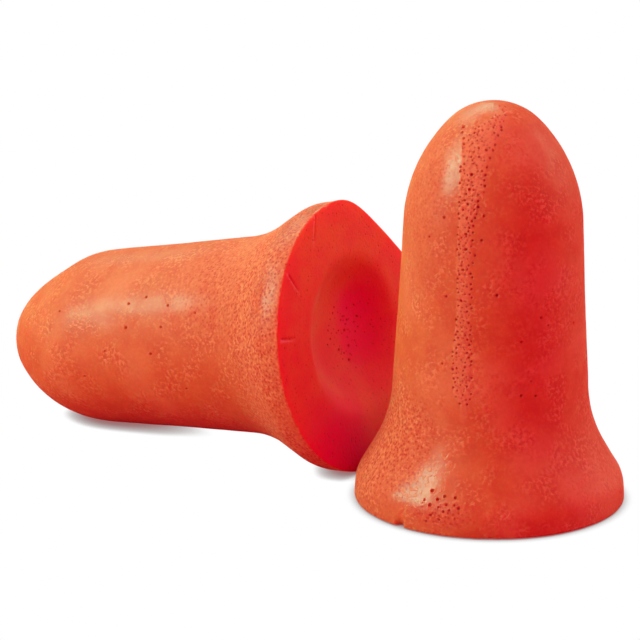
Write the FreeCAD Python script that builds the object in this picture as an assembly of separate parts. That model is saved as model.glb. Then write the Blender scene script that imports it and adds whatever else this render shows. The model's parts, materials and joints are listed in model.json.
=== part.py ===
"""A pair of bell-shaped foam ear plugs, one standing on its flared end and one lying beside it.

Each plug is one moulded piece of soft, slow-recovery polyurethane foam: a domed nose, a stalk with
a slight taper, a flare that ends in a short upright rim, and a flat base with a shallow dimple.
The pair has no other pieces. Moulded foam varies a little, so the two plugs differ by a few percent.

Units are millimetres and +Z is up. The origin is the centre of the upright plug's base, on the
surface that both plugs rest on. +X points to the right and +Y away from the viewer.
"""
import FreeCAD
import Part
import math
import os

# The nominal plug, and each plug's share of that size
LENGTH = 24.85
UPRIGHT_SIZE = 0.973
LYING_SIZE = 1.027

# Nose: a tight arc at the tip, and a wider one from there to the stalk
TIP_RADIUS = 3.9
TIP_TURN = 44.0
NOSE_RADIUS = 9.0

# Stalk and flare: outline corners, each rounded by its own radius
STALK_TAPER = 3.0
FLARE_START_HEIGHT = 5.25
FLARE_START_ROUNDING = 8.6
SHOULDER_RADIUS = 8.16
SHOULDER_HEIGHT = 1.6
SHOULDER_ROUNDING = 2.6
BASE_RADIUS = 8.22

# Dimple in the base
DIMPLE_RADIUS = 4.7
DIMPLE_DEPTH = 1.5
DIMPLE_LIP_ROUNDING = 1.0

# Lying plug: the centre of its base seen from above, and its axis' turn from the X axis
LYING_BASE_X = -7.97
LYING_BASE_Y = 5.79
LYING_YAW = 32.3

# The one flat on the lying plug's rim: its distance from the axis, and its turn from straight up
FLAT_DISTANCE = 7.10
FLAT_TURN = 43.0

# Finding how the lying plug rests: points along the outline, the lowest share of the length that may
# touch as flare and the share from which it may touch as nose, the steepest tilt, and when to stop
OUTLINE_POINTS = 2000
FLARE_SHARE = 0.25
NOSE_SHARE = 0.5
STEEPEST_PITCH = 30.0
FINE = 1e-9


def straight(start, end):
    return Part.LineSegment(start, end).toShape()


def point(radius, height):
    """A point of the outline, in the plane through the plug's axis."""
    return FreeCAD.Vector(radius, 0, height)


def on_arc(centre, radius, angle):
    """A point of an arc, at an angle from straight up towards the outside."""
    turn = math.radians(angle)
    return centre + point(radius * math.sin(turn), radius * math.cos(turn))


def nose_edges():
    """The two arcs from the tip to the top of the stalk."""
    tip_centre = point(0, LENGTH - TIP_RADIUS)
    nose_centre = on_arc(tip_centre, TIP_RADIUS - NOSE_RADIUS, TIP_TURN)
    edges = []
    for centre, radius, first, last in ((tip_centre, TIP_RADIUS, 0, TIP_TURN),
                                        (nose_centre, NOSE_RADIUS, TIP_TURN, 90 - STALK_TAPER)):
        angles = (first, (first + last) / 2, last)
        edges.append(Part.Arc(*[on_arc(centre, radius, angle) for angle in angles]).toShape())
    return edges


def flare_edges(stalk_top):
    """The stalk, the flare and the rim, down to the edge of the base."""
    drop = stalk_top.z - FLARE_START_HEIGHT
    flare_start = point(stalk_top.x + drop * math.tan(math.radians(STALK_TAPER)), FLARE_START_HEIGHT)
    shoulder = point(SHOULDER_RADIUS, SHOULDER_HEIGHT)
    base_edge = point(BASE_RADIUS, 0)
    corners = ((stalk_top, flare_start, shoulder, FLARE_START_ROUNDING),
               (flare_start, shoulder, base_edge, SHOULDER_ROUNDING))
    edges = []
    reached = stalk_top
    for before, corner, after, rounding in corners:
        arc_start, arc_edge, arc_end = rounded_corner(before, corner, after, rounding)
        edges += [straight(reached, arc_start), arc_edge]
        reached = arc_end
    return [*edges, straight(reached, base_edge)]


def rounded_corner(before, corner, after, rounding):
    """The tangent arc at a corner, with its first and last points."""
    to_before = (before - corner).normalize()
    to_after = (after - corner).normalize()
    half_angle = to_before.getAngle(to_after) / 2
    reach = rounding / math.tan(half_angle)
    gap = rounding / math.sin(half_angle) - rounding
    arc_start = corner + to_before * reach
    arc_end = corner + to_after * reach
    middle = corner + (to_before + to_after).normalize() * gap
    return arc_start, Part.Arc(arc_start, middle, arc_end).toShape(), arc_end


def dimple_edges():
    """The flat ring of the base, the dimple's rounded lip and its bowl, which is part of a sphere."""
    bowl_radius = (DIMPLE_RADIUS ** 2 + DIMPLE_DEPTH ** 2) / (2 * DIMPLE_DEPTH)
    bowl_centre_height = DIMPLE_DEPTH - bowl_radius
    # The lip's circle touches the base from above and the bowl from outside
    lip_centre_radius = math.sqrt((bowl_radius + DIMPLE_LIP_ROUNDING) ** 2
                                  - (DIMPLE_LIP_ROUNDING - bowl_centre_height) ** 2)
    lip_centre = point(lip_centre_radius, DIMPLE_LIP_ROUNDING)
    bowl_centre = point(0, bowl_centre_height)
    bowl_edge_angle = math.degrees(math.atan2(lip_centre_radius, DIMPLE_LIP_ROUNDING - bowl_centre_height))
    lip_start = point(lip_centre_radius, 0)
    lip_middle = on_arc(lip_centre, DIMPLE_LIP_ROUNDING, 180 + bowl_edge_angle / 2)
    bowl_edge = on_arc(bowl_centre, bowl_radius, bowl_edge_angle)
    bowl_middle = on_arc(bowl_centre, bowl_radius, bowl_edge_angle / 2)
    bowl_top = point(0, DIMPLE_DEPTH)
    return [straight(point(BASE_RADIUS, 0), lip_start),
            Part.Arc(lip_start, lip_middle, bowl_edge).toShape(),
            Part.Arc(bowl_edge, bowl_middle, bowl_top).toShape()]


def plug_outline(size):
    """Half the plug's section as a closed wire that starts and ends on the axis."""
    nose = nose_edges()
    edges = [*nose, *flare_edges(nose[-1].Vertexes[-1].Point), *dimple_edges()]
    edges.append(straight(point(0, DIMPLE_DEPTH), point(0, LENGTH)))
    wire = Part.Wire(edges)
    wire.scale(size)
    return wire


def plug_solid(size):
    """A plug that stands on its base at the origin."""
    return Part.Face(plug_outline(size)).revolve(FreeCAD.Vector(0, 0, 0), FreeCAD.Vector(0, 0, 1), 360)


def depth_below_axis(outline_points, pitch):
    """How far the points of a lying plug reach below the centre of its base, with its nose tipped down."""
    return max(p.z * math.sin(pitch) + p.x * math.cos(pitch) for p in outline_points)


def resting_place(size):
    """How a lying plug rests on its flare and its nose: the nose's tip down, and the base centre's height."""
    samples = plug_outline(size).discretize(Number=OUTLINE_POINTS)
    flare = [p for p in samples if p.z < size * LENGTH * FLARE_SHARE]
    nose = [p for p in samples if p.z > size * LENGTH * NOSE_SHARE]
    level, steep = 0.0, math.radians(STEEPEST_PITCH)
    while steep - level > FINE:
        pitch = (level + steep) / 2
        if depth_below_axis(nose, pitch) < depth_below_axis(flare, pitch):
            level = pitch
        else:
            steep = pitch
    return level, depth_below_axis(flare, level)


def lying_placement():
    """Lays a standing plug on its side, nose to the left and away, and puts it in its place."""
    pitch, base_height = resting_place(LYING_SIZE)
    tip_over = FreeCAD.Rotation(FreeCAD.Vector(0, 1, 0), -90 - math.degrees(pitch))
    yaw = FreeCAD.Rotation(FreeCAD.Vector(0, 0, 1), -LYING_YAW)
    return FreeCAD.Placement(FreeCAD.Vector(LYING_BASE_X, LYING_BASE_Y, base_height), yaw * tip_over)


def rim_flat_cutter(size):
    """A block with one face where the rim's flat is, for a plug that stands at the origin."""
    side = 2 * size * BASE_RADIUS
    block = Part.makeBox(side, side, side, FreeCAD.Vector(size * FLAT_DISTANCE, -side / 2, -side / 2))
    block.rotate(FreeCAD.Vector(0, 0, 0), FreeCAD.Vector(0, 0, 1), FLAT_TURN)
    return block


def upright_plug():
    return plug_solid(UPRIGHT_SIZE)


def lying_plug():
    solid = plug_solid(LYING_SIZE).cut(rim_flat_cutter(LYING_SIZE))
    solid.Placement = lying_placement()
    return solid


def report_sizes(nodes):
    """Prints what the record states: volumes, boxes, the gap, and where the lying plug's nose is."""
    for name, shape in nodes.items():
        box = shape.optimalBoundingBox(False, False)
        corners = [round(v, 3) for v in (box.XMin, box.YMin, box.ZMin, box.XMax, box.YMax, box.ZMax)]
        print(name, "volume", round(shape.Volume, 1), "box", corners, "valid", shape.isValid())
    print("gap", round(nodes["upright_plug"].distToShape(nodes["lying_plug"])[0], 3))
    place = lying_placement()
    nose = place.multVec(FreeCAD.Vector(0, 0, LYING_SIZE * LENGTH))
    axis = place.Rotation.multVec(FreeCAD.Vector(0, 0, 1))
    print("lying nose", [round(v, 3) for v in nose], "axis", [round(v, 6) for v in axis])


def main():
    os.makedirs("parts", exist_ok=True)
    nodes = {"upright_plug": upright_plug(), "lying_plug": lying_plug()}
    for name, shape in nodes.items():
        shape.exportStep(f"parts/{name}.step")
    report_sizes(nodes)


main()
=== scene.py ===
"""A pair of bell-shaped foam ear plugs: the real surface of each one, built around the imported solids.

Lengths are in millimetres until a mesh is finished, and are then turned into metres. A plug is made
standing on its base, with its axis along +Z, and is then put where its solid is. A place on it is a
height above its base and an angle around its axis, in degrees, from its own +X towards its own +Y.
"""
import json
import math
import random
from dataclasses import dataclass

import bmesh
import bpy
import numpy as np
from mathutils import Matrix, Vector, noise
from mathutils.kdtree import KDTree


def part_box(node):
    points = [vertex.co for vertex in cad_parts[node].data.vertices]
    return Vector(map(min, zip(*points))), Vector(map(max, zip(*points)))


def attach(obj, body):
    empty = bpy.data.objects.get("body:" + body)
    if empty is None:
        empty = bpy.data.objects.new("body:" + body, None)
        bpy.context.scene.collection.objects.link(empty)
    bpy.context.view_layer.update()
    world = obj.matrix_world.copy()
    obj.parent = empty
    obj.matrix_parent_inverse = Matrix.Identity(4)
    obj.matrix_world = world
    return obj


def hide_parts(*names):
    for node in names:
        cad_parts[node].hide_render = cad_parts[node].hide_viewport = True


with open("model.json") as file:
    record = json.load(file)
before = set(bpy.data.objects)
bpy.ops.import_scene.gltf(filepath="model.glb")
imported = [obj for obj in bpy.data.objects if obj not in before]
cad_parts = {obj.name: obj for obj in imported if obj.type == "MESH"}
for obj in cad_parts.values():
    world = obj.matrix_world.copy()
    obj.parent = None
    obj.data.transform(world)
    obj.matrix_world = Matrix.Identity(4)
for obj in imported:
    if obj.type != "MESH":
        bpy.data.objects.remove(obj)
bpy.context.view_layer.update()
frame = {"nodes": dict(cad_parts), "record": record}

MM = 0.001
TURN = 2 * math.pi
UP = Vector((0, 0, 1))
MOUNTS = {mount["name"]: mount for mount in frame["record"]["mounts"]}

# ---------------------------------------------------------------- outline of the nominal plug
# Corners of half the section from the tip to the middle of the dimple: radius, height, rounding
LENGTH = 24.85
TIP_RADIUS = 3.9
TIP_TURN = math.radians(44)
BASE_RADIUS = 8.30
DIMPLE_DEPTH = 1.5
OUTLINE = (
    (0.0, LENGTH, 0.0),
    (TIP_RADIUS * math.tan(TIP_TURN / 2), LENGTH, TIP_RADIUS),
    (5.26, 21.29, 9.0),         # nose
    (6.10, 5.25, 8.6),          # where the stalk meets the flare
    (8.18, 1.55, 2.4),          # shoulder of the rim
    (BASE_RADIUS, 0.0, 0.20),   # cut edge of the base
    (4.75, 0.0, 1.5),           # lip of the dimple
    (2.60, 1.45, 3.6),          # floor of the dimple
    (0.0, DIMPLE_DEPTH, 0.0),
)

SPACING = 0.19                  # between neighbouring vertices
ARC_STEP = math.radians(14)     # the most that the outline turns between two rows
SHORTEST_STEP = 0.02
FEWEST_AROUND = 6               # vertices in the smallest ring


def rounded_outline(size):
    """Points of the outline, evenly spaced, with each corner rounded by a tangent arc."""
    points = [Vector((radius, height)) * size for radius, height, _ in OUTLINE]
    path = [points[0]]
    for before, corner, after, (_, _, rounding) in zip(points, points[1:], points[2:], OUTLINE[1:]):
        path += corner_arc(before, corner, after, rounding * size)
    path.append(points[-1])
    return evenly_spaced(path)


def corner_arc(before, corner, after, radius):
    """Points of the arc that rounds a corner, from one side to the other."""
    to_before = (before - corner).normalized()
    to_after = (after - corner).normalized()
    half_angle = to_before.angle(to_after) / 2
    centre = corner + (to_before + to_after).normalized() * radius / math.sin(half_angle)
    first = corner + to_before * radius / math.tan(half_angle) - centre
    turn = to_before.angle_signed(to_after)
    sweep = math.copysign(math.pi - abs(turn), turn)
    steps = max(2, math.ceil(abs(sweep) / ARC_STEP), round(abs(sweep) * radius / SPACING))
    return [centre + Matrix.Rotation(sweep * i / steps, 2) @ first for i in range(steps + 1)]


def evenly_spaced(path):
    """The path with its long stretches divided to the mesh's spacing."""
    spaced = [path[0]]
    for start, end in zip(path, path[1:]):
        distance = (end - start).length
        steps = max(1, round(distance / SPACING)) if distance > SHORTEST_STEP else 0
        spaced += [start.lerp(end, (i + 1) / steps) for i in range(steps)]
    return spaced


# ---------------------------------------------------------------- what each plug has of its own
@dataclass
class Pit:
    """A small round hollow in the skin, where a bubble of the foam is open."""
    place: Vector
    radius: float
    depth: float


@dataclass
class Plug:
    """One ear plug, and how it differs from the nominal one."""
    name: str
    size: float         # against the nominal plug
    place: Matrix       # from its own standing frame to the scene's, in millimetres
    seed: int           # for its small pits and its unevenness
    seam: tuple         # route of the mould seam: height, angles of its two edges
    pits: tuple         # large pits in the skin: height, angle
    base_pits: tuple    # large pits in the base and the dimple: radius, angle
    pit_swarm: tuple    # small pits in the dimple: radius and angle of their middle, reach, number
    shade_patches: tuple      # painted shade, a deeper red on the base: radius, angle, reach, strength
    swellings: tuple    # height, angle, reach along the axis, reach around it in degrees, amount
    notches: tuple      # in the base's edge: angle, width, depth
    cuts: tuple         # knife marks on the base: radius and angle of one end, then of the other
    flat: tuple         # squashed side of the rim: angle, distance from the axis; or empty
    sleek: tuple        # glossy patches: height, angle, reach along the axis and around it, strength
    grain_and_shade: tuple       # grainy patches, in the same way, whose darker colour is partly painted shade


def standing_plug():
    """The plug that stands on its base, as long as its solid."""
    low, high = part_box("upright_plug")
    size = (high.z - low.z) / MM / LENGTH
    return Plug(
        name="upright", size=size, place=Matrix.Identity(4), seed=3,
        seam=((24.1, -75, -50), (23.7, -95, -71), (23.2, -116, -82), (22.6, -130, -88),
              (22.1, -126, -93), (21.5, -122, -97), (20.0, -118, -98), (19.4, -117, -102),
              (17.7, -116, -105), (12.5, -115, -105), (10.0, -117, -104), (8.0, -115, -103),
              (7.4, -111, -105)),
        pits=((18.6, -99), (17.2, -100), (16.3, -104), (13.7, -122), (14.0, -90), (12.5, -62),
              (12.0, -57), (11.2, -75), (11.7, -34), (8.8, -69), (8.0, -75), (9.7, -123),
              (17.0, -137), (18.3, -126), (7.9, -66), (22.1, -100), (20.8, -110), (20.0, -110),
              (19.2, -110), (18.4, -110), (17.5, -110), (16.6, -110), (15.4, -111), (13.6, -112),
              (23.95, -73), (23.7, -88), (23.2, -94), (1.95, -122), (2.5, -119.5), (2.3, -113),
              (1.9, -108), (2.3, -108), (1.2, -118), (1.0, -114), (23.1, -135), (22.85, -132.5),
              (1.75, -119), (1.7, -115), (1.9, -111.5), (1.6, -110), (1.75, -106), (2.1, -116),
              (1.5, -112.5), (0.8, -120)),
        base_pits=((3.1, 40), (1.4, 200), (6.4, 250)),
        pit_swarm=(1.2, 300, 1.5, 14),
        shade_patches=((1.4, 160, 2.4, 0.8), (7.0, 20, 3.0, 0.6)),
        swellings=((15.0, 180, 5.5, 60, -0.06), (0.8, 0, 1.6, 40, 0.12), (0.8, 180, 1.6, 40, 0.06),
                   (23.9, 90, 1.5, 400, 0.05)),
        notches=((-133.4, 0.24, 0.50), (-95, 0.12, 0.07), (-92, 0.14, 0.08), (-87, 0.10, 0.06),
                 (-101, 0.10, 0.05), (62, 0.2, 0.12)),
        cuts=((8.0, 30, 6.9, 24), (7.9, 160, 7.0, 163)),
        flat=(),
        sleek=((21.3, -125, 1.8, 10, 0.95), (21.8, -131, 1.0, 8, 0.7), (3.8, -116, 1.2, 8, 1.0),
               (2.9, -120, 1.1, 11, 1.05), (2.1, -126, 0.8, 11, 1.05), (1.7, -134, 0.4, 6, 1.0),
               (2.2, -115, 0.8, 8, 0.95), (23.9, -115, 0.9, 45, 1.0), (14.0, -130, 5.0, 10, 0.5),
               (12.0, 90, 12.0, 60, 0.6)),
        grain_and_shade=((4.0, -168, 4.5, 32, 1.0), (4.5, -140, 3.0, 15, 0.8), (1.3, -114, 0.8, 14, 0.8),
                (19.0, -148, 6.0, 26, 0.4), (5.0, 60, 4.0, 50, 0.5), (3.0, -30, 3.0, 30, 0.2)),
    )


def fallen_plug():
    """The plug that lies on its side: its nose and axis are its mount's, and its length its solid's."""
    nose = MOUNTS["lying_nose"]
    tip = Vector(nose["pos_m"]) / MM
    axis = Vector(nose["axis"])
    solid = frame["nodes"]["lying_plug"]
    heights = [(solid.matrix_world @ vertex.co).dot(axis) for vertex in solid.data.vertices]
    length = (max(heights) - min(heights)) / MM
    side = axis.cross(UP).normalized()
    top = side.cross(axis)
    turned = Matrix((top, side, axis)).transposed().to_4x4()
    return Plug(
        name="lying", size=length / LENGTH, seed=8,
        place=Matrix.Translation(tip - axis * length) @ turned,
        seam=((24.9, 64, 72), (23.6, 74, 90), (21.2, 78, 96), (19.0, 80, 91), (12.5, 81, 90.5),
              (9.0, 80, 92), (6.6, 81, 91)),
        pits=((12.0, -53), (13.3, -57), (10.1, -59), (7.9, -64), (13.3, -72), (10.5, -72),
              (15.1, -86.5), (11.4, -88), (19.0, -60), (17.2, -104), (9.2, -110), (6.2, 20),
              (14.0, 35), (18.8, 130), (9.8, 150)),
        base_pits=((1.1, 92), (1.7, 129), (2.2, 151), (1.6, 71), (1.1, 168), (2.6, 60), (0.6, 250)),
        pit_swarm=(0.9, 100, 1.9, 44),
        shade_patches=((2.4, 66, 2.1, 1.0), (2.3, 104, 2.2, 0.95), (3.0, 135, 1.9, 0.45),
                 (1.5, 180, 3.0, 0.35), (8.2, -155, 4.3, 1.0)),
        swellings=((0.9, 10, 1.5, 40, -0.15), (21.6, -10, 2.0, 60, -0.26), (24.0, 180, 3.5, 90, 0.16),
                   (25.5, 0, 1.2, 400, 0.14)),
        notches=((-8, 0.16, 0.10), (-48, 0.14, 0.08), (-72, 0.12, 0.07), (-118, 0.14, 0.08)),
        cuts=((8.4, -18, 7.2, -25), (8.0, -51, 6.8, -54), (8.0, -79, 7.0, -79)),
        flat=(43, 7.10),
        sleek=((12.5, -57, 5.2, 8, 0.65), (16.5, -66, 2.5, 13, 0.6), (14.5, -17, 5.5, 9, 0.5),
               (1.4, -60, 1.2, 17, 0.85), (1.2, -27, 1.3, 15, 0.7), (0.6, -14, 0.7, 9, 0.9),
               (14.0, -150, 8.0, 30, 0.5), (12.0, 120, 12.0, 50, 0.6)),
        # the second grainy patch darkens the down-turned lower flare as painted shade
        grain_and_shade=((2.2, -60, 3.2, 70, 1.0), (2.5, -140, 3.0, 35, 0.9), (6.0, -45, 4.0, 45, 0.6),
                (4.0, 120, 4.0, 50, 0.5)),
    )


# ---------------------------------------------------------------- mesh of a plain plug
def turned_mesh(outline):
    """The outline turned round the axis into nearly equal triangles, with fewer where it is narrow."""
    mesh = bmesh.new()
    rings = [new_ring(mesh, row, point) for row, point in enumerate(outline)]
    for upper, lower in zip(rings, rings[1:]):
        zip_rings(mesh, upper, lower)
    return mesh


def new_ring(mesh, row, point):
    """Vertices around the axis, as (angle, vertex), with every other row half a step round."""
    radius, height = point
    count = max(FEWEST_AROUND, round(TURN * radius / SPACING)) if radius > SHORTEST_STEP else 1
    angles = [TURN * (i + row % 2 / 2) / count for i in range(count)]
    return [(angle, mesh.verts.new((radius * math.cos(angle), radius * math.sin(angle), height)))
            for angle in angles]


def zip_rings(mesh, upper, lower):
    """Joins two rings with triangles, always stepping along the ring that is behind."""
    upper = closed(upper)
    lower = closed(lower)
    i = j = 0
    while i + 1 < len(upper) or j + 1 < len(lower):
        lower_done = j + 1 == len(lower)
        if lower_done or (i + 1 < len(upper) and upper[i + 1][0] < lower[j + 1][0]):
            mesh.faces.new((upper[i + 1][1], upper[i][1], lower[j][1]))
            i += 1
        else:
            mesh.faces.new((upper[i][1], lower[j][1], lower[j + 1][1]))
            j += 1


def closed(ring):
    """The ring with its first vertex again at its end, one turn on."""
    angle, vertex = ring[0]
    return ring if len(ring) == 1 else [*ring, (angle + TURN, vertex)]


# ---------------------------------------------------------------- where the pits are
SEAM_TRIES_PER_MM = 38          # places tried for a pit; those too near another are left out
SEAM_PIT_GAP = 0.21             # least distance between two of them
SEAM_PIT_SIZES = (0.038, 0.062)     # least and greatest radius in the middle of the seam
SEAM_EDGE_GROWTH = 0.4          # how much larger they are along its edges
SEAM_PIT_DEPTHS = (0.9, 1.4)    # least and greatest depth against the radius
LARGE_PIT_SIZES = (0.065, 0.10)
LARGE_PIT_DEPTH = 1.2           # against the radius
BASE_PIT_SIZES = (0.06, 0.10)
SWARM_PIT_SIZES = (0.042, 0.072)
PIT_REACH = 2                   # how far a pit's hollow and lip spread, against its radius
CUT_WIDTH = 0.09
FINE_SPACING = 0.045            # between neighbouring vertices in a pit
SPACING_SLACK = 1.3             # how much wider than that the spacing may stay


class Surface:
    """The plain plug's surface, for finding places on it."""

    def __init__(self, outline):
        # The outermost of the lowest points divides the side from the base
        lowest = min(range(len(outline)), key=lambda i: (outline[i].y, -outline[i].x))
        side = outline[:lowest + 1]
        under = outline[lowest:]
        self.heights = [point.y for point in reversed(side)]
        self.radii = [point.x for point in reversed(side)]
        self.under_radii = [point.x for point in reversed(under)]
        self.under_heights = [point.y for point in reversed(under)]

    def on_side(self, height, angle):
        radius = np.interp(height, self.heights, self.radii)
        return around(radius, angle, height)

    def on_base(self, radius, angle):
        return around(radius, angle, np.interp(radius, self.under_radii, self.under_heights))


def around(radius, angle, height):
    """The point at a distance from the axis, an angle in degrees and a height."""
    turn = math.radians(angle)
    return Vector((radius * math.cos(turn), radius * math.sin(turn), height))


def seam_edges(plug, height):
    """Angles of the seam's two edges at a height."""
    heights, first, second = zip(*reversed(plug.seam))
    return np.interp(height, heights, first), np.interp(height, heights, second)


def seam_pits(plug, surface, rng):
    """Small pits strewn over the seam, most and largest along its edges, and never too close."""
    top, bottom = plug.seam[0][0], plug.seam[-1][0]
    pits = []
    for _ in range(round((top - bottom) * SEAM_TRIES_PER_MM)):
        height = rng.uniform(bottom, top)
        first, second = seam_edges(plug, height)
        across = math.sin(math.pi / 2 * rng.uniform(0.1, 0.9)) ** 2
        place = surface.on_side(height, first + (second - first) * across)
        if all((place - pit.place).length > SEAM_PIT_GAP for pit in pits):
            radius = rng.uniform(*SEAM_PIT_SIZES) * (1 + SEAM_EDGE_GROWTH * abs(2 * across - 1))
            pits.append(Pit(place, radius, radius * rng.uniform(*SEAM_PIT_DEPTHS)))
    return pits


def swarm_pits(plug, surface, rng):
    """Small pits strewn round a place in the dimple."""
    radius, angle, reach, number = plug.pit_swarm
    middle = around(radius, angle, 0)
    pits = []
    for _ in range(number):
        place = middle + around(reach * math.sqrt(rng.random()), rng.uniform(0, 360), 0)
        size = rng.uniform(*SWARM_PIT_SIZES)
        bearing = math.degrees(math.atan2(place.y, place.x))
        pits.append(Pit(surface.on_base(place.length, bearing), size, size))
    return pits


def all_pits(plug, surface):
    """Every pit of one plug: the seam's, the single ones, and those of the base and the dimple."""
    rng = random.Random(plug.seed)
    pits = seam_pits(plug, surface, rng)
    for height, angle in plug.pits:
        radius = rng.uniform(*LARGE_PIT_SIZES)
        pits.append(Pit(surface.on_side(height, angle), radius, radius * LARGE_PIT_DEPTH))
    for radius, angle in plug.base_pits:
        size = rng.uniform(*BASE_PIT_SIZES)
        pits.append(Pit(surface.on_base(radius, angle), size, size))
    return pits + swarm_pits(plug, surface, rng)


def cut_places(plug):
    """Places along each knife mark, for the mesh to be fine there."""
    places = []
    for first_radius, first_angle, last_radius, last_angle in plug.cuts:
        start = around(first_radius, first_angle, 0)
        end = around(last_radius, last_angle, 0)
        steps = math.ceil((end - start).length / SPACING)
        places += [start.lerp(end, i / steps) for i in range(steps + 1)]
    return places


def refine(mesh, fine_places):
    """Divides the edges near each (place, reach) in two, again and again, until they are short."""
    length = SPACING
    while length > FINE_SPACING * SPACING_SLACK:
        tree = KDTree(len(mesh.edges))
        edges = list(mesh.edges)
        for i, edge in enumerate(edges):
            tree.insert((edge.verts[0].co + edge.verts[1].co) / 2, i)
        tree.balance()
        near = {i for place, reach in fine_places
                for _, i, _ in tree.find_range(place, reach + length / 2)}
        chosen = [edges[i] for i in sorted(near) if edges[i].calc_length() > length / 2]
        bmesh.ops.subdivide_edges(mesh, edges=chosen, cuts=1)
        bmesh.ops.triangulate(mesh, faces=[face for face in mesh.faces if len(face.verts) > 3])
        length /= 2


# ---------------------------------------------------------------- relief of the skin
CUT_FACE_SLOPES = (-0.55, -0.8)     # upward part of the normal, from skin to cut face
CUT_FACE_TOP = 2.0              # all of the cut face is below this height
WAVES = ((5.0, 0.04, 0), (1.3, 0.012, 5))   # unevenness: wavelength, height, what is added to the seed
FINE_WAVES = (0.45, 0.006, 9)   # the same, for the skin alone
CUT_FACE_DROP = 0.05            # how far the cut face is drawn in, so that it clears the table
# The seam
SEAM_HEIGHT = 0.030
SEAM_GRAIN = 0.5                # how grainy it is, against a grainy patch
SEAM_STEP = 0.10                # width of its sharp side
SEAM_FADE = 0.35                # width of its faint side
SEAM_START = (-1.5, 0.8)        # where it starts and where it is whole, from its route's lower end
SEAM_END = (0.0, -0.6)          # the same, from its route's upper end
LEAST_RADIUS = 0.5              # for widths in degrees, close to the axis
# A pit's shape, against its radius
PIT_STEEPNESS = 1.2
PIT_LIP = 0.12                  # height of the rim around it
PIT_LIP_PLACE = 1.35            # how far that is from the middle
PIT_LIP_WIDTH = 0.3
PIT_SHADE = 0.95                # how far the painted shade inside it goes
# A knife mark
CUT_DEPTH = 0.12
CUT_LIP = 0.08                  # height of what the knife pushed up beside the cut
CUT_FADING = 0.6                # how much of a cut is gone at its far end
CUT_SHADE = 0.35                # how dark the painted shade in a cut is, against a pit
# The rim
SQUASH_SOFTNESS = 0.5           # half the width over which the flat runs into the round
SQUASH_DEPTH = 6.0              # foam further in than this doesn't move
RIM_REACH = 0.35                # how far up from the base's edge a nick goes


def smooth_step(low, high, values):
    """0 up to the first limit, 1 from the second one, and smooth between them."""
    t = np.clip((values - low) / (high - low), 0, 1)
    return t * t * (3 - 2 * t)


def noise_at(places, wavelength, offset):
    """Smooth noise, from about -1 to 1, with the given wavelength in millimetres."""
    shift = Vector((offset, offset * 0.7, -offset))
    return np.array([noise.noise(Vector(place) / wavelength + shift) for place in places])


def wrapped(degrees):
    """The same angle, between -180 and 180."""
    return (degrees + 180) % 360 - 180


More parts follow.
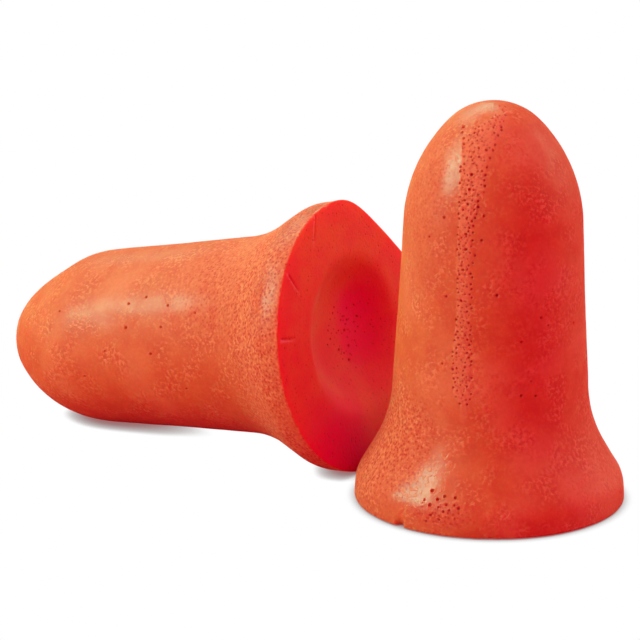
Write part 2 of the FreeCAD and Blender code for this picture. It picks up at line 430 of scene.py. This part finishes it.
class Relief:
    """How far the real skin stands off the plain one, and what covers it, painted shade too, at every
    vertex.
    """

    def __init__(self, plug, places, normals, pits):
        self.plug = plug
        self.places = places
        self.normals = normals
        self.height = places[:, 2]
        self.radius = np.hypot(places[:, 0], places[:, 1])
        self.angle = np.degrees(np.arctan2(places[:, 1], places[:, 0]))
        self.pits = pits
        self.cut_face = smooth_step(*CUT_FACE_SLOPES, normals[:, 2]) * (self.height < CUT_FACE_TOP)
        self.offset = np.zeros(len(places))
        self.hole_shade = np.zeros(len(places))
        self.pale_lip = np.zeros(len(places))

    def make(self):
        """Works out every layer, and returns the vertices' new places."""
        self.swell()
        self.undulate()
        self.raise_seam()
        self.sink_pits()
        self.cut_base()
        self.polish()
        moved = self.places + self.normals * self.offset[:, None]
        moved = self.squash_rim(moved)
        moved = self.notch_edge(moved)
        return moved

    def swell(self):
        """Broad swellings and dents that make this plug unlike the other."""
        for height, angle, along, across, amount in self.plug.swellings:
            far = ((self.height - height) / along) ** 2 + (wrapped(self.angle - angle) / across) ** 2
            self.offset += amount * np.exp(-far) * (1 - self.cut_face)

    def undulate(self):
        """The soft skin's own unevenness."""
        for wavelength, amount, shift in WAVES:
            self.offset += amount * noise_at(self.places, wavelength, self.plug.seed + shift)
        wavelength, amount, shift = FINE_WAVES
        fine = noise_at(self.places, wavelength, self.plug.seed + shift)
        self.offset += amount * fine * (1 - self.cut_face)
        self.offset -= CUT_FACE_DROP * self.cut_face

    def raise_seam(self):
        """The strip along the mould's seam: a sharp step on one side, and a faint one on the other."""
        first, second = seam_edges(self.plug, self.height)
        per_degree = math.radians(1) * np.maximum(self.radius, LEAST_RADIUS)
        from_first = wrapped(self.angle - first) * per_degree
        from_second = wrapped(second - self.angle) * per_degree
        top, bottom = self.plug.seam[0][0], self.plug.seam[-1][0]
        ends = smooth_step(*SEAM_START, self.height - bottom) * smooth_step(*SEAM_END, self.height - top)
        sides = smooth_step(0, SEAM_STEP, from_first) * smooth_step(0, SEAM_FADE, from_second)
        self.seam = sides * ends
        self.offset += SEAM_HEIGHT * self.seam

    def sink_pits(self):
        """Each pit's hollow, with a low lip around it, and painted shade inside it."""
        tree = KDTree(len(self.places))
        for i, place in enumerate(self.places):
            tree.insert(place, i)
        tree.balance()
        for pit in self.pits:
            for _, i, distance in tree.find_range(pit.place, pit.radius * PIT_REACH):
                t = distance / pit.radius
                lip = math.exp(-((t - PIT_LIP_PLACE) / PIT_LIP_WIDTH) ** 2)
                self.offset[i] -= pit.depth * math.exp(-PIT_STEEPNESS * t ** 4)
                self.offset[i] += pit.radius * PIT_LIP * lip
                self.hole_shade[i] = max(self.hole_shade[i], math.exp(-(t / PIT_SHADE) ** 4))

    def cut_base(self):
        """The knife's marks on the base: a groove with painted shade, and a paler lip beside it."""
        for first_radius, first_angle, last_radius, last_angle in self.plug.cuts:
            start = np.array(around(first_radius, first_angle, 0))
            run = np.array(around(last_radius, last_angle, 0)) - start
            along = np.clip((self.places - start) @ run / (run @ run), 0, 1)
            far = np.linalg.norm(self.places - start - along[:, None] * run, axis=1)
            fading = 1 - CUT_FADING * along
            mark = np.exp(-(far / CUT_WIDTH) ** 2) * fading
            aside = (self.places - start) @ np.array((-run[1], run[0], 0)) / np.linalg.norm(run)
            ridge = ((aside - 1.5 * CUT_WIDTH) / CUT_WIDTH) ** 2
            lip = np.exp(-ridge - (far / (4 * CUT_WIDTH)) ** 4) * fading
            self.offset += CUT_LIP * lip - CUT_DEPTH * mark
            self.hole_shade = np.maximum(self.hole_shade, CUT_SHADE * mark)
            self.pale_lip = np.maximum(self.pale_lip, lip * self.cut_face)

    def polish(self):
        """Where the skin is sleek and where it is grainy, and where painted shade makes the cut face a
        deeper red.
        """
        self.gloss = self.patches(self.plug.sleek) * (1 - self.seam)
        self.grain = np.maximum(self.patches(self.plug.grain_and_shade), SEAM_GRAIN * self.seam)
        self.painted_shade = np.zeros(len(self.places))
        for radius, angle, reach, strength in self.plug.shade_patches:
            middle = np.array(around(radius, angle, 0))[:2]
            far = np.linalg.norm(self.places[:, :2] - middle, axis=1) / reach
            self.painted_shade = np.maximum(self.painted_shade, strength * np.exp(-far ** 4))

    def patches(self, patches):
        """Each patch's own strength inside it, falling to 0 outside."""
        found = np.zeros(len(self.places))
        for height, angle, along, across, strength in patches:
            far = ((self.height - height) / along) ** 2 + (wrapped(self.angle - angle) / across) ** 2
            found = np.maximum(found, strength * np.exp(-far ** 2))
        return found

    def squash_rim(self, moved):
        """Presses one side of the rim flat, as it was before the foam had quite recovered."""
        if not self.plug.flat:
            return moved
        angle, distance = self.plug.flat
        outward = np.array(around(1, angle, 0))
        beyond = moved @ outward - distance * self.plug.size
        pressed = -SQUASH_SOFTNESS * np.log1p(np.exp(-beyond / SQUASH_SOFTNESS))
        new_beyond = np.where(beyond > -SQUASH_DEPTH, pressed, beyond)
        return moved + outward * (new_beyond - beyond)[:, None]

    def notch_edge(self, moved):
        """Small nicks that the knife left in the edge of the base."""
        near_edge = np.exp(-(self.height / RIM_REACH) ** 2)
        near_edge = near_edge * smooth_step(BASE_RADIUS - 1, BASE_RADIUS, self.radius)
        outward = self.places * (1, 1, 0) / np.maximum(self.radius, 1)[:, None]
        for angle, width, depth in self.plug.notches:
            across = wrapped(self.angle - angle) * math.radians(1) * self.radius
            moved = moved - outward * (depth * np.exp(-(across / width) ** 4) * near_edge)[:, None]
        return moved


# ---------------------------------------------------------------- the finished mesh
SHARP_ANGLE = math.radians(38)  # between two faces, at the cut edge of the base
CUT_SLOPE = -0.6                # upward part of the normal, below which a face is cut foam


def shaped_mesh(plug):
    """One plug's mesh with all of its relief, still standing on its base, and that relief."""
    outline = rounded_outline(plug.size)
    surface = Surface(outline)
    pits = all_pits(plug, surface)
    mesh = turned_mesh(outline)
    fine_places = [(pit.place, pit.radius * PIT_REACH) for pit in pits]
    fine_places += [(place, CUT_WIDTH * 2) for place in cut_places(plug)]
    refine(mesh, fine_places)
    mesh.normal_update()
    places = np.array([vertex.co for vertex in mesh.verts])
    normals = np.array([vertex.normal for vertex in mesh.verts])
    relief = Relief(plug, places, normals, pits)
    moved = relief.make()
    for face in mesh.faces:
        low = face.calc_center_median().z < CUT_FACE_TOP
        face.material_index = int(low and face.normal.z < CUT_SLOPE)
        face.smooth = True
    for vertex, place in zip(mesh.verts, moved):
        vertex.co = place
    mesh.normal_update()
    for edge in mesh.edges:
        edge.smooth = edge.calc_face_angle() < SHARP_ANGLE
    return mesh, relief


def plug_object(plug, materials):
    """One plug, in its place, with its two materials and what covers each part of it."""
    mesh, relief = shaped_mesh(plug)
    data = bpy.data.meshes.new(plug.name + "_foam")
    mesh.to_mesh(data)
    mesh.free()
    data.transform(Matrix.Scale(MM, 4) @ plug.place)
    for vertex in data.vertices:
        vertex.co.z = max(vertex.co.z, 0.0)     # the table flattens it
    for cover, values in (("hole_shade", relief.hole_shade), ("seam", relief.seam), ("gloss", relief.gloss),
                          ("grain", relief.grain), ("pale_lip", relief.pale_lip), ("painted_shade", relief.painted_shade)):
        data.attributes.new(cover, "FLOAT", "POINT").data.foreach_set("value", values)
    for material in materials:
        data.materials.append(material)
    plug_piece = bpy.data.objects.new(plug.name + "_foam", data)
    bpy.context.collection.objects.link(plug_piece)
    return plug_piece


# ---------------------------------------------------------------- materials
class Nodes:
    """Short ways to add and join the nodes of one material."""

    def __init__(self, name):
        self.material = bpy.data.materials.new(name)
        self.material.use_nodes = True
        self.tree = self.material.node_tree
        self.shader = self.tree.nodes["Principled BSDF"]
        place = self.tree.nodes.new("ShaderNodeTexCoord").outputs["Object"]
        in_millimetres = self.tree.nodes.new("ShaderNodeVectorMath")
        in_millimetres.operation = "SCALE"
        in_millimetres.inputs["Scale"].default_value = 1 / MM
        self.put(in_millimetres.inputs[0], place)
        self.place = in_millimetres.outputs[0]

    def add(self, kind, **inputs):
        """Adds a node, and sets or joins its inputs by name."""
        node = self.tree.nodes.new(kind)
        for name, value in inputs.items():
            self.put(node.inputs[name.title()], value)
        return node

    def put(self, socket, value):
        """Joins a socket to another one, or sets it to a plain value."""
        if isinstance(value, bpy.types.NodeSocket):
            self.tree.links.new(value, socket)
        else:
            socket.default_value = value

    def math(self, operation, first, second):
        node = self.tree.nodes.new("ShaderNodeMath")
        node.operation = operation
        self.put(node.inputs[0], first)
        self.put(node.inputs[1], second)
        return node.outputs[0]

    def attribute(self, name):
        node = self.tree.nodes.new("ShaderNodeAttribute")
        node.attribute_name = name
        return node.outputs["Fac"]

    def noise(self, wavelength, detail):
        node = self.add("ShaderNodeTexNoise", vector=self.place, scale=1 / wavelength, detail=detail)
        return node.outputs[0]

    def cells(self, spacing):
        """Distance to the nearest of strewn points, and a random value of its cell."""
        node = self.add("ShaderNodeTexVoronoi", vector=self.place, scale=1 / spacing)
        return node.outputs["Distance"], node.outputs["Color"]

    def ramp(self, value, low, high, to_low=0.0, to_high=1.0):
        """A smooth step of a value, from the first limit to the second one."""
        node = self.tree.nodes.new("ShaderNodeMapRange")
        node.interpolation_type = "SMOOTHSTEP"
        for name, setting in (("Value", value), ("From Min", low), ("From Max", high),
                              ("To Min", to_low), ("To Max", to_high)):
            self.put(node.inputs[name], setting)
        return node.outputs["Result"]

    def blend(self, amount, first, second):
        """A colour between two: the first where the amount is 0, the second where it is 1."""
        node = self.tree.nodes.new("ShaderNodeMix")
        node.data_type = "RGBA"
        self.put(node.inputs["Factor"], amount)
        first_colour, second_colour = [socket for socket in node.inputs if socket.type == "RGBA"]
        self.put(first_colour, first)
        self.put(second_colour, second)
        return next(socket for socket in node.outputs if socket.type == "RGBA")

    def bump(self, height, distance, normal=None):
        """A bump of a height in millimetres, on top of another one if it is given."""
        node = self.tree.nodes.new("ShaderNodeBump")
        node.inputs["Strength"].default_value = 1.0
        node.inputs["Distance"].default_value = distance * MM
        self.put(node.inputs["Height"], height)
        if normal is not None:
            self.put(node.inputs["Normal"], normal)
        return node.outputs["Normal"]


# Sizes of the skin's markings, in millimetres, and how high the fine ones stand
MOTTLE = 1.1
PATCHES = 4.5
FRECKLES = 0.20
CLUSTERS = 1.7                  # where the freckles gather
BUBBLES = 0.21
MOTTLE_HEIGHT = 0.035
GRAIN_HEIGHT = 0.025
# The same for the cut foam
CUT_MOTTLE = 1.6
CUT_GRAIN = 0.16
CUT_BUBBLES = 0.33
CUT_GRAIN_HEIGHT = 0.03

DULL = (0.66, 0.58)             # roughness of plain skin, from one end of the mottle to the other
SLEEKNESS = 0.34                # how much of it the mould's gloss takes away
HOLE_ROUGHNESS = 0.3            # how much open bubbles add
CUT_DULL = (0.62, 0.75)
SKIN_SHINE = 0.5
CUT_SHINE = 0.12
SCATTER_REACH = 0.9             # how far light goes through the foam, and each colour's share of that
SCATTER_COLOUR = (1.0, 0.10, 0.07)

SKIN = (0.70, 0.128, 0.022, 1)
SKIN_PALE = (0.85, 0.275, 0.090, 1)
SKIN_DEEP = (0.66, 0.097, 0.017, 1)
SKIN_DARK = (0.60, 0.055, 0.016, 1)
# painted shade in pits, open bubbles and knife cuts
PAINTED_HOLE_SHADE = (0.50, 0.018, 0.008, 1)
CUT = (0.83, 0.112, 0.036, 1)
CUT_DEEP = (0.83, 0.078, 0.038, 1)
# painted shade: the deeper red of the cut face in the dimple and low down
PAINTED_SHADE_RED = (0.86, 0.006, 0.064, 1)
# paler along the lip that the knife pushed up beside each cut
PALE_LIP = (0.92, 0.27, 0.15, 1)


def finish_foam(nodes, colour, roughness, shine, normal):
    """Light passes into the foam and comes out again, red light the furthest."""
    shader = nodes.shader
    shader.inputs["Subsurface Weight"].default_value = 1.0
    shader.inputs["Subsurface Radius"].default_value = SCATTER_COLOUR
    shader.inputs["Subsurface Scale"].default_value = SCATTER_REACH * MM
    shader.inputs["Specular IOR Level"].default_value = shine
    nodes.put(shader.inputs["Base Color"], colour)
    nodes.put(shader.inputs["Roughness"], roughness)
    nodes.put(shader.inputs["Normal"], normal)
    return nodes.material


def foam_skin():
    """The moulded skin: freckled, with tiny open bubbles darkened by painted shade where it is grainy,
    and a sheen where sleek.
    """
    nodes = Nodes("foam_skin")
    seam, grain_and_shade, gloss, hole_shade = [nodes.attribute(name) for name in ("seam", "grain", "gloss", "hole_shade")]
    mottle = nodes.noise(MOTTLE, detail=3)
    patches = nodes.noise(PATCHES, detail=1)
    freckles = nodes.noise(FRECKLES, detail=1)
    clusters = nodes.ramp(nodes.noise(CLUSTERS, detail=2), 0.42, 0.66, 0.15, 0.75)
    distance, _ = nodes.cells(BUBBLES)
    freckled = nodes.math("MAXIMUM", clusters, nodes.math("MULTIPLY", grain_and_shade, 0.6))
    pale = nodes.math("MULTIPLY", nodes.ramp(freckles, 0.50, 0.68), freckled)
    dark = nodes.math("MULTIPLY", nodes.ramp(freckles, 0.50, 0.32), freckled)
    bubbles = nodes.math("MULTIPLY", nodes.ramp(distance, 0.36, 0.14), grain_and_shade)
    walls = nodes.math("MULTIPLY", nodes.ramp(distance, 0.34, 0.60), grain_and_shade)
    colour = nodes.blend(nodes.ramp(mottle, 0.35, 0.65), SKIN_DEEP, SKIN)
    # Painted shade: the dark of open bubbles and pits
    for cover, strength, tint in (
            (nodes.ramp(patches, 0.45, 0.75), 0.35, SKIN_PALE), (seam, 0.85, SKIN_PALE),
            # grainy patches are darker, partly from the grain and partly as painted shade
            (grain_and_shade, 0.85, SKIN_DARK), (pale, 0.80, SKIN_PALE), (walls, 0.35, SKIN_PALE),
            (dark, 0.85, SKIN_DARK), (bubbles, 0.95, PAINTED_HOLE_SHADE), (hole_shade, 1.0, PAINTED_HOLE_SHADE)):
        colour = nodes.blend(nodes.math("MULTIPLY", cover, strength), colour, tint)
    dull = nodes.ramp(mottle, 0.3, 0.7, *DULL)
    polished = nodes.math("SUBTRACT", dull, nodes.math("MULTIPLY", gloss, SLEEKNESS))
    holes = nodes.math("MAXIMUM", nodes.math("SUBTRACT", grain_and_shade, gloss), hole_shade)
    roughness = nodes.math("ADD", polished, nodes.math("MULTIPLY", holes, HOLE_ROUGHNESS))
    waves = nodes.bump(mottle, MOTTLE_HEIGHT)
    normal = nodes.bump(nodes.math("SUBTRACT", pale, bubbles), GRAIN_HEIGHT, normal=waves)
    return finish_foam(nodes, colour, roughness, SKIN_SHINE, normal)


def cut_foam():
    """The foam where it was cut: no skin, so redder, finer and duller, with painted shade darkening its
    holes and cuts and making it deepest red in the dimple.
    """
    nodes = Nodes("cut_foam")
    mottle = nodes.noise(CUT_MOTTLE, detail=3)
    grain = nodes.noise(CUT_GRAIN, detail=2)
    distance, cell = nodes.cells(CUT_BUBBLES)
    # Only some of the cells have an open bubble, darkened by painted shade
    dots = nodes.math("MULTIPLY", nodes.ramp(distance, 0.28, 0.10), nodes.ramp(cell, 0.55, 0.65))
    colour = nodes.blend(nodes.ramp(mottle, 0.35, 0.65), CUT_DEEP, CUT)
    # Painted shade: the deeper red, and the dark of holes and cuts
    for cover, strength, tint in (
            (nodes.attribute("painted_shade"), 1.0, PAINTED_SHADE_RED), (nodes.attribute("pale_lip"), 1.0, PALE_LIP),
            (nodes.ramp(grain, 0.50, 0.30), 0.35, SKIN_DARK), (dots, 0.5, PAINTED_HOLE_SHADE),
            (nodes.attribute("hole_shade"), 1.0, PAINTED_HOLE_SHADE)):
        colour = nodes.blend(nodes.math("MULTIPLY", cover, strength), colour, tint)
    roughness = nodes.ramp(grain, 0.3, 0.7, *CUT_DULL)
    height = nodes.math("SUBTRACT", grain, nodes.math("MULTIPLY", dots, 0.8))
    return finish_foam(nodes, colour, roughness, CUT_SHINE, nodes.bump(height, CUT_GRAIN_HEIGHT))


# ---------------------------------------------------------------- studio
CAMERA_PLACE = (-10.18, -172.87, 60.07)
CAMERA_PITCH = 15.85            # below the horizontal
CAMERA_LENS = 170.0
CAMERA_SENSOR = 36.0
CAMERA_NEAR = 10.0              # nothing closer than this is seen
SUBJECT = (-9.0, 6.0, 11.0)     # middle of the pair
FLOOR_SIZE = 3000.0
BOUNCE_DEPTH = 0.05             # how far the dim table is below the white one
SHADOW_REACH = 0.75             # how near something must be to shade the table
SHADOW_SAMPLES = 16
TABLE_CLOUDS = 3.0
TABLE_ROUGHNESS = 0.9
FLOOR_WHITE = (1, 1, 1, 1)
SHADOW = (0.48, 0.42, 0.42, 1)
SHADOW_RED = (0.34, 0.16, 0.16, 1)
TABLE_DARK = (0.62, 0.035, 0.07, 1)
TABLE_PALE = (0.70, 0.045, 0.08, 1)
# The dye turns much of the softboxes' light red, which AMBIENT has instead of KEY
KEY = (0.27, 1.0, 0.66)
AMBIENT = (1.02, 0.013, 0.71, 1)    # its blue only fills the shade

# Softboxes: name, azimuth from the camera's side towards its right, elevation, distance, size, power
SOFTBOXES = (
    ("key", -77, 29, 300, (218, 165), 1.09),
    ("back", -154, 44, 300, (300, 200), 0.58),
    ("fill", 40, 60, 350, (300, 300), 0.11),
    ("side", 112, 26, 300, (160, 150), 0.35),
)


def add_camera():
    data = bpy.data.cameras.new("camera")
    data.lens = CAMERA_LENS
    data.sensor_width = CAMERA_SENSOR
    data.clip_start = CAMERA_NEAR * MM
    camera = bpy.data.objects.new("camera", data)
    camera.location = Vector(CAMERA_PLACE) * MM
    camera.rotation_euler = (math.radians(90 - CAMERA_PITCH), 0, 0)
    bpy.context.collection.objects.link(camera)
    bpy.context.scene.camera = camera


def white_floor():
    """A white table that glows evenly, with painted shadow only where something all but touches it."""
    nodes = Nodes("white_floor")
    gap = nodes.add("ShaderNodeAmbientOcclusion", distance=SHADOW_REACH * MM)
    gap.samples = SHADOW_SAMPLES
    near = nodes.blend(nodes.ramp(gap.outputs["AO"], 0.05, 0.40), SHADOW_RED, SHADOW)
    openness = nodes.ramp(gap.outputs["AO"], 0.30, 0.97)
    glow = nodes.add("ShaderNodeEmission", color=nodes.blend(openness, near, FLOOR_WHITE))
    nodes.tree.links.new(glow.outputs[0], nodes.tree.nodes["Material Output"].inputs["Surface"])
    return nodes.material


def dim_table():
    """What the plugs see below them: a table that throws back little but red light."""
    nodes = Nodes("dim_table")
    clouds = nodes.noise(TABLE_CLOUDS, detail=2)
    nodes.put(nodes.shader.inputs["Base Color"], nodes.blend(clouds, TABLE_DARK, TABLE_PALE))
    nodes.shader.inputs["Roughness"].default_value = TABLE_ROUGHNESS
    return nodes.material


def add_floor(name, depth, material):
    """A large square sheet at a depth below the table's top."""
    mesh = bpy.data.meshes.new(name)
    half = FLOOR_SIZE * MM / 2
    low = -depth * MM
    corners = ((-half, -half, low), (half, -half, low), (half, half, low), (-half, half, low))
    mesh.from_pydata(corners, [], [(0, 1, 2, 3)])
    mesh.materials.append(material)
    floor = bpy.data.objects.new(name, mesh)
    bpy.context.collection.objects.link(floor)
    return floor


def add_table():
    """A white table for the camera, and under it the dim one that lights the plugs."""
    seen = add_floor("floor", 0.0, white_floor())
    seen.visible_diffuse = False
    seen.visible_glossy = False
    seen.visible_shadow = False
    unseen = add_floor("floor_bounce", BOUNCE_DEPTH, dim_table())
    unseen.visible_camera = False


def add_softbox(name, azimuth, elevation, distance, size, power):
    """A rectangular light that faces the subject."""
    turn = math.radians(azimuth)
    rise = math.radians(elevation)
    level = math.cos(rise)
    direction = Vector((math.sin(turn) * level, -math.cos(turn) * level, math.sin(rise)))
    data = bpy.data.lights.new(name, "AREA")
    data.shape = "RECTANGLE"
    data.size = size[0] * MM
    data.size_y = size[1] * MM
    data.energy = power
    data.color = KEY
    light = bpy.data.objects.new(name, data)
    light.location = (Vector(SUBJECT) + direction * distance) * MM
    light.rotation_euler = direction.to_track_quat("Z", "Y").to_euler()
    bpy.context.collection.objects.link(light)


def add_world():
    """White where the camera sees it; for the plugs, their dye's own red light and some blue."""
    world = bpy.data.worlds.new("world")
    world.use_nodes = True
    world.cycles_visibility.glossy = False
    tree = world.node_tree
    seen = tree.nodes["Background"]
    seen.inputs["Color"].default_value = FLOOR_WHITE
    ambient = tree.nodes.new("ShaderNodeBackground")
    ambient.inputs["Color"].default_value = AMBIENT
    ray = tree.nodes.new("ShaderNodeLightPath")
    either = tree.nodes.new("ShaderNodeMixShader")
    tree.links.new(ray.outputs["Is Camera Ray"], either.inputs["Fac"])
    tree.links.new(ambient.outputs[0], either.inputs[1])
    tree.links.new(seen.outputs[0], either.inputs[2])
    tree.links.new(either.outputs[0], tree.nodes["World Output"].inputs["Surface"])
    bpy.context.scene.world = world


# ---------------------------------------------------------------- the scene
def main():
    """The two plugs, each standing in for its solid, and the studio around them."""
    materials = (foam_skin(), cut_foam())
    for plug in (standing_plug(), fallen_plug()):
        piece = plug_object(plug, materials)
        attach(piece, plug.name)
        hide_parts(plug.name + "_plug")
    add_table()
    for softbox in SOFTBOXES:
        add_softbox(*softbox)
    add_world()
    add_camera()
    bpy.context.scene.view_settings.view_transform = "Standard"


main()
